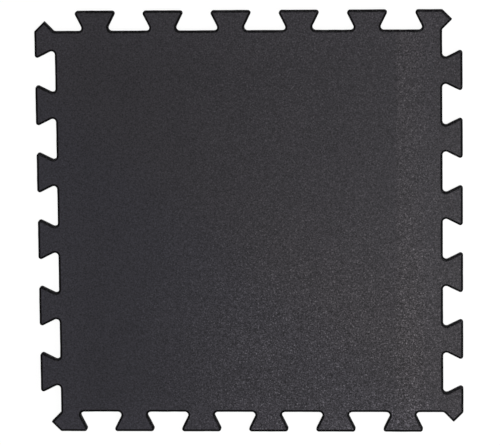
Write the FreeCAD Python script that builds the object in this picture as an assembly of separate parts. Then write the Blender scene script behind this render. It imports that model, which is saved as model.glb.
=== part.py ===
import FreeCAD, Part
import math
import os

# A one-piece rubber floor tile whose four sides carry dovetail tabs.
# The origin is at the centre of the underside, +Z is up, sizes are in millimetres.

# Driving dimensions
cover_size = 609.6          # floor that one laid tile covers each way, 24 in
tabs_per_side = 6           # the dovetails of a side and its corner key
thickness = 12.7            # 1/2 in
tab_depth = 30.2            # how far a tab reaches past the body
flank_slope = 0.5           # how much a tab widens, on each flank, for each mm of depth
bend_radius = 4.5           # rounding of the bends of the cut line between two tiles
fit_gap = 0.7               # gap left between two tiles once they are joined
edge_break = 0.6            # chamfer round the upper and the lower face
point_radius = 0.4          # rounding of a corner key's point, on the face inside the chamfer

# Sizes that follow from them
pitch = cover_size / tabs_per_side
body_edge = (cover_size - tab_depth) / 2
tab_end = body_edge + tab_depth
flank_run = flank_slope * tab_depth / 2
setback = fit_gap / 2


def dovetail(centre):
    """Bends of the cut line round one tab of the far side, from left to right."""
    left = centre - pitch / 4
    right = centre + pitch / 4
    return [
        (left + flank_run, body_edge),
        (left - flank_run, tab_end),
        (right + flank_run, tab_end),
        (right - flank_run, body_edge),
    ]


def corner_key():
    """Bends round the half tab that ends the side, with its point on the diagonal."""
    flank = cover_size / 2 - pitch / 2
    point = body_edge + tab_depth / 2
    return [
        (flank + flank_run, body_edge),
        (flank - flank_run, tab_end),
        (body_edge, tab_end),
        (point, point),
        (body_edge, body_edge),
    ]


def far_side():
    """Bends of one whole side: the dovetails at their pitch, then the corner key."""
    first_centre = 3 * pitch / 4 - cover_size / 2
    bends = []
    for number in range(tabs_per_side - 1):
        bends += dovetail(first_centre + number * pitch)
    return bends + corner_key()


def cut_line():
    """The closed line that a tile shares with its neighbours, clockwise from above."""
    side = far_side()
    bends = []
    for _ in range(4):
        bends += side
        side = [(y, -x) for x, y in side]
    return [FreeCAD.Vector(x, y, 0) for x, y in bends]


def rounded_bend(before, bend, after):
    """Start, middle and end of the arc that turns the tile's edge at one bend.

    The edge lies half the fit gap inside the cut line. So where the tile bends
    outward its radius is smaller than that of the neighbour's inward bend round it.
    """
    arriving = (bend - before).normalize()
    leaving = (after - bend).normalize()
    half_turn = arriving.getAngle(leaving) / 2
    turned_side = (leaving - arriving).normalize()
    outward = arriving.cross(leaving).z < 0
    if outward:
        inward = turned_side
        radius = bend_radius - setback
    else:
        inward = -turned_side
        radius = bend_radius + setback
    if outward and abs(bend.x) == abs(bend.y):
        radius = point_radius + edge_break
    corner = bend + inward * (setback / math.cos(half_turn))
    reach = radius * math.tan(half_turn)
    crown = radius * (1 / math.cos(half_turn) - 1)
    return corner - arriving * reach, corner + turned_side * crown, corner + leaving * reach


def outline():
    """The tile's outline: tangent arcs at the bends, joined by straight runs."""
    bends = cut_line()
    followers = bends[1:] + bends[:1]
    leaders = bends[-1:] + bends[:-1]
    arcs = [rounded_bend(*three) for three in zip(leaders, bends, followers)]
    edges = []
    for arc, next_arc in zip(arcs, arcs[1:] + arcs[:1]):
        edges.append(Part.Arc(*arc).toShape())
        edges.append(Part.LineSegment(arc[-1], next_arc[0]).toShape())
    return Part.Wire(edges)


def rubber_tile():
    """The sheet cut to the outline, with the edges of its two faces broken."""
    sheet = Part.Face(outline()).extrude(FreeCAD.Vector(0, 0, thickness))
    face_edges = [edge for edge in sheet.Edges if edge.BoundBox.ZLength < thickness / 2]
    return sheet.makeChamfer(edge_break, face_edges)


os.makedirs("parts", exist_ok=True)
tile = rubber_tile()
tile.exportStep("parts/rubber_tile.step")
print("size", tile.BoundBox.XLength, tile.BoundBox.YLength, tile.BoundBox.ZLength)
print("volume", tile.Volume, "valid", tile.isValid(), "solids", len(tile.Solids))
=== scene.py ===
import math

import bpy
import numpy as np
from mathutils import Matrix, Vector, noise
from mathutils.geometry import delaunay_2d_cdt


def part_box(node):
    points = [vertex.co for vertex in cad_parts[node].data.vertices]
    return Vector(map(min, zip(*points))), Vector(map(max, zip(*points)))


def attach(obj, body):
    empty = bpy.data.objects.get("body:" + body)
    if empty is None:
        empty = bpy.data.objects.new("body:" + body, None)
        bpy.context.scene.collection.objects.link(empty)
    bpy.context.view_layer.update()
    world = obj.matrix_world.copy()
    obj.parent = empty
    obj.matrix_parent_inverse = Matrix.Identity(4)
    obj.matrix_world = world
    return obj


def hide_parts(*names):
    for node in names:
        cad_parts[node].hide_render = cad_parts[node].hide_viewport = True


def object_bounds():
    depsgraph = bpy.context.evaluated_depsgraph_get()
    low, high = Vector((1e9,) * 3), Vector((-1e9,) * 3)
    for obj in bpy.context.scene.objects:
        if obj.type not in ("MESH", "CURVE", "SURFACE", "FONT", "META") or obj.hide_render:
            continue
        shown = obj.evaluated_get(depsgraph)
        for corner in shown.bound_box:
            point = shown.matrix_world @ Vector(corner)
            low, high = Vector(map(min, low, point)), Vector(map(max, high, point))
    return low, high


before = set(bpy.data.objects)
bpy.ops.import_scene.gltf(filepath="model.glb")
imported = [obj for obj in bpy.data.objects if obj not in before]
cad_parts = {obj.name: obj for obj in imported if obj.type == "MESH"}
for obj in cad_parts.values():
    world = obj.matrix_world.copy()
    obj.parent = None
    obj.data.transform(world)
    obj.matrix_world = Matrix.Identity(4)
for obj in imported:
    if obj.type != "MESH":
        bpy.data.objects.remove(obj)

cad_low, cad_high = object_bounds()

# The rubber tile
# One sheet of black crumb rubber, bonded and vulcanised under a press and then cut through with a die.
# The press leaves a fine pebbled skin on both faces, and the die leaves a rougher wall with open crumb
# and draws the rim of the upper face down a little.

tile_low, tile_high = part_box("rubber_tile")
tile_span = tile_high[0] - tile_low[0]
tile_top = tile_high[2]
tabs_per_side = 6
tab_depth = 0.0302
flank_slope = 0.5
bend_radius = 0.0045
setback = 0.00035
point_radius = 0.001
cover = tile_span - tab_depth + 2 * setback
pitch = cover / tabs_per_side
body_edge = (cover - tab_depth) / 2
tab_end = body_edge + tab_depth
flank_run = flank_slope * tab_depth / 2
half_width = pitch / 4
first_tab = 0.75


def far_side_bends():
    """Bends of the cut line along the far side: a dovetail at every pitch, then the corner key."""
    bends = []
    for number in range(tabs_per_side - 1):
        centre = (number + first_tab) * pitch - cover / 2
        for side in (-1, 1):
            neck = (centre + side * (half_width - flank_run), body_edge)
            shoulder = (centre + side * (half_width + flank_run), tab_end)
            bends += [neck, shoulder] if side < 0 else [shoulder, neck]
    flank = cover / 2 - pitch / 2
    point = body_edge + tab_depth / 2
    bends += [(flank + flank_run, body_edge), (flank - flank_run, tab_end)]
    bends += [(body_edge, tab_end), (point, point), (body_edge, body_edge)]
    return np.array(bends)


def unit(vectors):
    return vectors / np.linalg.norm(vectors, axis=1, keepdims=True)


side_bends = far_side_bends()
bends = []
for quarter in range(4):
    bends.append(side_bends)
    side_bends = np.column_stack([side_bends[:, 1], -side_bends[:, 0]])
bends = np.concatenate(bends)
arriving = unit(bends - np.roll(bends, 1, axis=0))
leaving = unit(np.roll(bends, -1, axis=0) - bends)
turned_side = unit(leaving - arriving)
outward = arriving[:, 0] * leaving[:, 1] - arriving[:, 1] * leaving[:, 0] < 0
at_point = outward & np.isclose(np.abs(bends[:, 0]), np.abs(bends[:, 1]))
half_turn = np.arccos((arriving * leaving).sum(axis=1)) / 2
least_radius = 0.00005
arc_steps = 6
run_step = 0.0028


def bend_arcs(inset):
    """Points of the arc at every bend, for the outline drawn in by so much from the cut wall."""
    depth = setback + inset
    radius = np.where(outward, bend_radius - depth, bend_radius + depth)
    radius = np.where(at_point, point_radius - inset, radius)
    radius = np.maximum(radius, least_radius)
    inward = np.where(outward, 1, -1)[:, None] * turned_side
    corner = bends + inward * (depth / np.cos(half_turn))[:, None]
    centre = corner + turned_side * (radius / np.cos(half_turn))[:, None]
    spoke = corner - arriving * (radius * np.tan(half_turn))[:, None] - centre
    arcs = []
    for step in range(arc_steps + 1):
        angle = np.where(outward, -2, 2) * half_turn * step / arc_steps
        turned_x = spoke[:, 0] * np.cos(angle) - spoke[:, 1] * np.sin(angle)
        turned_y = spoke[:, 0] * np.sin(angle) + spoke[:, 1] * np.cos(angle)
        arcs.append(centre + np.column_stack([turned_x, turned_y]))
    return np.stack(arcs, axis=1)


wall_arcs = bend_arcs(0)
run_lengths = np.linalg.norm(np.roll(wall_arcs[:, 0], -1, axis=0) - wall_arcs[:, -1], axis=1)
run_counts = np.maximum(np.rint(run_lengths / run_step).astype(int), 1)


def ring(inset):
    """Every outline has the same number of points, so that two of them can be joined by faces."""
    arcs = bend_arcs(inset)
    points = []
    for index, arc in enumerate(arcs):
        start, end = arc[-1], arcs[(index + 1) % len(arcs)][0]
        shares = np.arange(1, run_counts[index])[:, None] / run_counts[index]
        points += [arc, start + (end - start) * shares]
    return np.concatenate(points)


def filling(edge, spacing, wander, seed):
    """Points in rows inside an outline, each row between the places where it crosses the edge."""
    rng = np.random.default_rng(seed)
    ends = np.roll(edge, -1, axis=0)
    row_gap = 0.87 * spacing
    rows = []
    for number, y in enumerate(np.arange(edge[:, 1].min(), edge[:, 1].max(), row_gap)):
        crossing = (edge[:, 1] > y) != (ends[:, 1] > y)
        a, b = edge[crossing], ends[crossing]
        crossings = np.sort(a[:, 0] + (y - a[:, 1]) / (b[:, 1] - a[:, 1]) * (b[:, 0] - a[:, 0]))
        offset = spacing / 2 * (number % 2)
        for left, right in zip(crossings[0::2], crossings[1::2]):
            first = math.ceil((left - offset) / spacing)
            last = math.floor((right - offset) / spacing)
            x = np.arange(first, last + 1) * spacing + offset
            rows.append(np.column_stack([x, np.full(len(x), y)]))
    points = np.concatenate(rows)
    return points + rng.uniform(-wander, wander, points.shape)


def face_mesh(edge, inside):
    """Triangles over an outline and the points inside it."""
    points = [Vector(point) for point in np.concatenate([edge, inside])]
    loop = list(range(len(edge)))
    inside_only, nearness = 1, 1e-7
    found = delaunay_2d_cdt(points, [], [loop[::-1]], inside_only, nearness)
    places = np.array([tuple(place) for place in found[0]])
    return places, found[2]


# Each outline of the tile from the upper face down: how far it is drawn in from the cut wall, its height
# above the underside, and how much painted shade there is on it, near black along the upper rim and the
# foot of the wall. The pressed skin ends at skin_end, and the wall is torn from torn_from down.
skin_end, torn_from = 2, 5
profile = [
    (0.0048, tile_top - 0.00004, 0.0),
    (0.0037, tile_top - 0.00005, 0.0),
    (0.0033, tile_top - 0.00007, 1.0),
    (0.0016, tile_top - 0.00018, 1.0),
    (0.0007, tile_top - 0.00040, 1.0),
    (0.00025, tile_top - 0.00075, 1.0),
    (0.0, tile_top - 0.0013, 0.9),
    (0.0, tile_top - 0.0034, 0.0),
    (0.0, tile_top * 0.45, 0.0),
    (0.0, 0.0024, 0.0),
    (0.0, 0.0009, 0.8),
    (0.0003, 0.0003, 1.0),
    (0.0011, 0.0, 0.6),
]
insets, heights, rim_shade_shares = zip(*profile)
rings = [ring(inset) for inset in insets]
ring_size = len(rings[0])
inward = unit(ring(inset=0.001) - ring(inset=0))

top_inside = filling(ring(inset=0.0058), spacing=0.0024, wander=0.00035, seed=3)
top_places, top_faces = face_mesh(rings[0], top_inside)
under_inside = filling(ring(inset=0.004), spacing=0.009, wander=0.001, seed=5)
under_places, under_faces = face_mesh(rings[-1], under_inside)


def pebbles(places, size, seed):
    """Smooth random heights from 0 down to -1 whose bumps are about this far apart."""
    shift = Vector((seed, seed / 2, seed / 3))
    return np.array([(noise.noise(Vector(place) / size + shift) - 1) / 2 for place in places])


def flat(places, height):
    return np.column_stack([places, np.full(len(places), height)])


# The pressed skin is flat but for shallow pebbling and the slow waviness of a sheet that has lain rolled
pebble_depth, pebble_size = 0.00014, 0.005
wave_depth, wave_size = 0.00008, 0.06
top_points = flat(top_places, tile_top)
relief = pebble_depth * pebbles(top_points, pebble_size, seed=3.1)
relief += wave_depth * pebbles(top_points, wave_size, seed=7.7)
relief[:ring_size] = heights[0] - tile_top
top_points[:, 2] += relief

# The die tears the wall a little
tear_depth, tear_size = 0.0004, 0.012
layers = [top_points]
for level in range(1, len(profile) - 1):
    outline = flat(rings[level], heights[level])
    if level >= torn_from:
        torn = tear_depth * -pebbles(outline, tear_size, seed=1.7)
        outline[:, :2] += inward * torn[:, None]
    layers.append(outline)
layers.append(flat(under_places, heights[-1]))

firsts = np.cumsum([0] + [len(layer) for layer in layers])
faces = [tuple(face) for face in top_faces]
for level in range(1, len(profile)):
    upper, lower = firsts[level - 1], firsts[level]
    for a in range(ring_size):
        b = (a + 1) % ring_size
        faces.append((upper + a, upper + b, lower + b, lower + a))
skin_faces = len(top_faces) + skin_end * ring_size
wall_faces = len(faces)
faces += [tuple(firsts[-2] + corner for corner in face[::-1]) for face in under_faces]

mesh = bpy.data.meshes.new("crumb_rubber_tile")
mesh.from_pydata(np.concatenate(layers).tolist(), [], [[int(corner) for corner in face] for face in faces])
mesh.shade_smooth()
surface = np.zeros(len(faces), dtype=np.int32)
surface[skin_faces:wall_faces] = 1
mesh.polygons.foreach_set("material_index", surface)

# The painted shade on top of the rim is narrower on the edges that face the far side
far_direction = (0.35, 0.94)
far_facing = np.maximum(-inward @ far_direction, 0)
rim_shade = [np.full(len(layer), share) for layer, share in zip(layers, rim_shade_shares)]
for level in (skin_end, skin_end + 1):
    rim_shade[level] *= 1 - far_facing
rim_shade[-1][ring_size:] = 0
# Painted shade along the rim and the foot of the wall, kept as a share on every point
attribute = mesh.attributes.new("rim_shade", "FLOAT", "POINT")
attribute.data.foreach_set("value", np.concatenate(rim_shade).astype(np.float32))

tile = bpy.data.objects.new("crumb_rubber_tile", mesh)
bpy.context.scene.collection.objects.link(tile)
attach(tile, "root")
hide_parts("rubber_tile")


class Shading:
    """The nodes of a material or of the world, and short ways to add to them."""

    def __init__(self, owner):
        owner.use_nodes = True
        self.nodes = owner.node_tree.nodes
        self.links = owner.node_tree.links

    def add(self, kind, **settings):
        node = self.nodes.new(kind)
        for name, value in settings.items():
            setattr(node, name, value)
        return node

    def feed(self, socket, value):
        """Link the output of another node to the socket, or set it to a plain number or colour."""
        if hasattr(value, "is_output"):
            self.links.new(value, socket)
        else:
            socket.default_value = value

    def maths(self, operation, *values):
        result = self.add("ShaderNodeMath", operation=operation)
        for socket, value in zip(result.inputs, values):
            self.feed(socket, value)
        return result.outputs["Value"]

    def span(self, value, start, end, before, after):
        """A level that goes smoothly from before to after while the value goes from start to end."""
        carried = self.add("ShaderNodeMapRange", interpolation_type="SMOOTHSTEP")
        for socket, given in zip(carried.inputs, (value, start, end, before, after)):
            self.feed(socket, given)
        return carried.outputs["Result"]

    def mix(self, share, first, second, blend="MIX"):
        """Two colours mixed by the share of the second."""
        mixed = self.add("ShaderNodeMix", data_type="RGBA", blend_type=blend)
        for socket, value in ((0, share), (6, first), (7, second)):
            self.feed(mixed.inputs[socket], value)
        return mixed.outputs[2]

    def times(self, colour, factor):
        return self.mix(1.0, colour, factor, "MULTIPLY")


class Rubber(Shading):
    """One of the tile's materials, whose textures lie in the tile's own coordinates."""

    # Near black of the painted shade along the rim and the foot of the wall
    rim_shade_black = (0.002, 0.002, 0.0023, 1)

    def __init__(self, name, specular_level):
        material = bpy.data.materials.new(name)
        super().__init__(material)
        self.inputs = self.nodes["Principled BSDF"].inputs
        self.inputs["Specular IOR Level"].default_value = specular_level
        self.place = self.add("ShaderNodeTexCoord").outputs["Object"]
        tile.data.materials.append(material)

    def grains(self, size, detail):
        grain = self.add("ShaderNodeTexNoise")
        grain.inputs["Scale"].default_value = 1 / size
        grain.inputs["Detail"].default_value = detail
        self.feed(grain.inputs["Vector"], self.place)
        return grain.outputs["Fac"]

    def crumbs(self, size):
        """How far a place is from the middle of its crumb, and a random number for each crumb."""
        cells = self.add("ShaderNodeTexVoronoi")
        cells.inputs["Scale"].default_value = 1 / size
        self.feed(cells.inputs["Vector"], self.place)
        number = self.add("ShaderNodeSeparateColor")
        self.feed(number.inputs["Color"], cells.outputs["Color"])
        return cells.outputs["Distance"], number.outputs["Red"]

    def ramp(self, value, *stops):
        """Colours against a value, each stop being its position and its red, green and blue."""
        colours = self.add("ShaderNodeValToRGB")
        elements = colours.color_ramp.elements
        while len(elements) < len(stops):
            elements.new(1)
        for element, (position, *colour) in zip(elements, stops):
            element.position = position
            element.color = (*colour, 1)
        self.feed(colours.inputs["Fac"], value)
        return colours.outputs["Color"]

    def paint(self, tone, unevenness):
        """The colour, and the painted shade of the rim and wall foot over it, whose border an uneven value
        round a half breaks up.
        """
        share = self.add("ShaderNodeAttribute", attribute_name="rim_shade").outputs["Fac"]
        painted_shade = self.span(self.maths("ADD", share, unevenness), 0.75, 1.25, 0, 1)
        self.feed(self.inputs["Base Color"], self.mix(painted_shade, tone, self.rim_shade_black))

    def roughen(self, height, strength, depth):
        bump = self.add("ShaderNodeBump")
        bump.inputs["Distance"].default_value = depth
        self.feed(bump.inputs["Strength"], strength)
        self.feed(bump.inputs["Height"], height)
        self.feed(self.inputs["Normal"], bump.outputs["Normal"])


# The skin is a little greyer than the rubber inside, grey crumb by grey crumb. At the left its crumbs are
# nearly alike. Towards the near right it is more pebbled, and its crumbs are painted lighter and more
# unlike, a painted sheen and glints of the lamp there. A strip along the right side has more of both,
# which is calmer again towards the edge.
skin = Rubber("pressed_crumb_rubber", specular_level=0.2)
axes = skin.add("ShaderNodeSeparateXYZ")
skin.feed(axes.inputs["Vector"], skin.place)
across, along = axes.outputs["X"], axes.outputs["Y"]
open_and_glinting_across = skin.span(across, -0.22, 0.07, 0.0, 1.0)
open_and_glinting_along = skin.span(along, -0.22, 0.08, 0.76, 0.20)
# Painted sheen and glints in a strip along the right side, calmer again towards the edge
sheen_strip_opens = skin.span(across, 0.216, 0.226, 0.0, 0.36)
sheen_strip_calms = skin.span(across, 0.236, 0.276, 1.0, 0.5)
openness_and_glints = skin.maths("MULTIPLY", open_and_glinting_across, open_and_glinting_along)
openness_and_glints = skin.maths("MULTIPLY", skin.maths("ADD", openness_and_glints, sheen_strip_opens), sheen_strip_calms)

lump_in_tone, lump_in_bump = 0.15, 0.4
off_middle, crumb_number = skin.crumbs(size=0.0017)
lump = skin.maths("SUBTRACT", crumb_number, off_middle)
grit = skin.grains(size=0.0022, detail=3)
crumb_height = skin.maths("MULTIPLY_ADD", lump, lump_in_tone, grit)
plain_tone = skin.ramp(
    crumb_height,
    (0.27, 0.0118, 0.0113, 0.0140),
    (0.78, 0.0484, 0.0465, 0.0566))
# Painted glints and sheen: where the skin opens, its crumbs are painted lighter, some of them light grey
glinting_tone = skin.ramp(
    crumb_height,
    (0.30, 0.0040, 0.0037, 0.0043),
    (0.51, 0.0405, 0.0379, 0.0428),
    (0.63, 0.0740, 0.0692, 0.0776),
    (0.80, 0.2400, 0.2280, 0.2460))
tone = skin.mix(openness_and_glints, plain_tone, glinting_tone)
cloud = skin.grains(size=0.05, detail=4)
tone = skin.times(tone, skin.ramp(cloud, (0.3, 0.92, 0.92, 0.93), (0.7, 1.0, 1.0, 1.0)))

# It is faintly blue at the near left and warmer elsewhere
near_left = skin.add("ShaderNodeVectorMath", operation="DOT_PRODUCT")
near_left.inputs[1].default_value = (-0.65, -0.76, 0)
skin.feed(near_left.inputs[0], skin.place)
coolness = skin.span(near_left.outputs["Value"], -0.01, 0.11, 0, 1)
warm_cast, cool_cast = (1.020, 0.992, 0.972, 1), (1.000, 0.998, 1.035, 1)
tone = skin.times(tone, skin.mix(coolness, warm_cast, cool_cast))

# A painted sheen makes a strip along the right side a tenth lighter, with a ragged border
ragged_width, sheen_strip_lift = 0.016, (1.10, 1.10, 1.10, 1)
ragged = skin.maths("MULTIPLY_ADD", skin.grains(size=0.012, detail=3), ragged_width, across)
sheen_strip_share = skin.span(ragged, 0.227, 0.234, 0, 1)
tone = skin.mix(sheen_strip_share, tone, skin.times(tone, sheen_strip_lift))

# The outer tabs are paler, but darker on the right
for axis, start, end, before, after in (
        (across, -0.290, -0.235, 1.12, 1.00),
        (across, 0.262, 0.305, 1.00, 0.86),
        (along, -0.310, -0.250, 1.22, 1.00),
        (along, 0.220, 0.300, 1.00, 1.16)):
    tone = skin.times(tone, skin.span(axis, start, end, before, after))
skin.paint(tone, grit)
height = skin.maths("MULTIPLY_ADD", lump, lump_in_bump, grit)
skin.roughen(height, strength=openness_and_glints, depth=0.0005)
skin.feed(skin.inputs["Roughness"], skin.span(crumb_number, 0, 1, 0.58, 0.46))

# The wall is the darker rubber inside, rough with open crumb
wall = Rubber("die_cut_crumb_rubber", specular_level=0.06)
wall_lump_share = 0.6
off_middle, crumb_number = wall.crumbs(size=0.0019)
lump = wall.maths("SUBTRACT", crumb_number, off_middle)
fine = wall.grains(size=0.0016, detail=3)
height = wall.maths("MULTIPLY_ADD", lump, wall_lump_share, fine)
tone = wall.ramp(
    height,
    (0.2, 0.0030, 0.0029, 0.0033),
    (0.6, 0.0150, 0.0143, 0.0162),
    (1.0, 0.0560, 0.0530, 0.0600))
wall.paint(tone, fine)
wall.roughen(height, strength=1.0, depth=0.0008)
wall.inputs["Roughness"].default_value = 0.7

# The floor
# Plain white studio paper without a seam. A glow of its own keeps it white for the camera, and the tile
# casts only a faint shadow on it.

floor_reach = 40
corners = []
for x, y in ((-1, -1), (1, -1), (1, 1), (-1, 1)):
    corners.append((x * floor_reach, y * floor_reach, cad_low[2]))
floor_mesh = bpy.data.meshes.new("paper_floor")
floor_mesh.from_pydata(corners, [], [(0, 1, 2, 3)])
floor = bpy.data.objects.new("paper_floor", floor_mesh)
bpy.context.scene.collection.objects.link(floor)


def seen_directly(shading):
    """1 for a ray from the camera or one mirrored or let through, which sees plain white, else 0."""
    path = shading.add("ShaderNodeLightPath").outputs
    bent = shading.maths("MAXIMUM", path["Is Glossy Ray"], path["Is Transmission Ray"])
    return shading.maths("MAXIMUM", path["Is Camera Ray"], bent)


paper_material = bpy.data.materials.new("white_paper")
paper = Shading(paper_material)
shader = paper.nodes["Principled BSDF"].inputs
seen = seen_directly(paper)
lit_paper, seen_paper, glow = (0.85, 0.85, 0.85, 1), (0.12, 0.12, 0.12, 1), 0.955
paper.feed(shader["Base Color"], paper.mix(seen, lit_paper, seen_paper))
shader["Emission Color"].default_value = (1, 1, 1, 1)
paper.feed(shader["Emission Strength"], paper.maths("MULTIPLY", seen, glow))
shader["Roughness"].default_value = 1
shader["Specular IOR Level"].default_value = 0
floor.data.materials.append(paper_material)

# The light
# Even light from all round and one soft lamp above the right side, so that the tile grows a little
# darker towards the left.

studio = bpy.data.worlds.new("studio")
bpy.context.scene.world = studio
world = Shading(studio)
background = world.nodes["Background"].inputs
plain_level, white_level = 0.44, 1.0
background["Color"].default_value = (1, 1, 1, 1)
level = world.span(seen_directly(world), 0, 1, plain_level, white_level)
world.feed(background["Strength"], level)

lamp_place, lamp_target = Vector((0.56, -0.16, 0.80)), Vector((0.1, -0.05, 0))
light = bpy.data.lights.new("side_lamp", "AREA")
light.size = 0.4
light.energy = 4.2
lamp = bpy.data.objects.new("side_lamp", light)
lamp.location = lamp_place
lamp.rotation_euler = (lamp_target - lamp_place).to_track_quat("-Z", "Y").to_euler()
lamp.visible_camera = False
bpy.context.scene.collection.objects.link(lamp)

# The camera
# A long lens high above the tile, a little to its far and right sides, so that a sliver of the far wall
# and of the right wall shows.

lean_x, lean_y, roll = math.radians(-8.81), math.radians(3.50), math.radians(-0.614)
photo_width = 500
lens_px = 4000
px_per_mm = 0.667
metres_off = lens_px / px_per_mm / 1000
aside_x, aside_y = 0.00055, 0.00052
camera_data = bpy.data.cameras.new("camera")
camera_data.sensor_width = 36
camera_data.lens = lens_px / photo_width * camera_data.sensor_width
camera_data.clip_end = 100
camera = bpy.data.objects.new("camera", camera_data)
camera.rotation_euler = (lean_x, lean_y, roll)
turn = camera.rotation_euler.to_matrix()
camera.location = turn @ Vector((aside_x, aside_y, metres_off)) + Vector((0, 0, tile_top))
bpy.context.scene.collection.objects.link(camera)
bpy.context.scene.camera = camera
bpy.context.scene.view_settings.view_transform = "Standard"
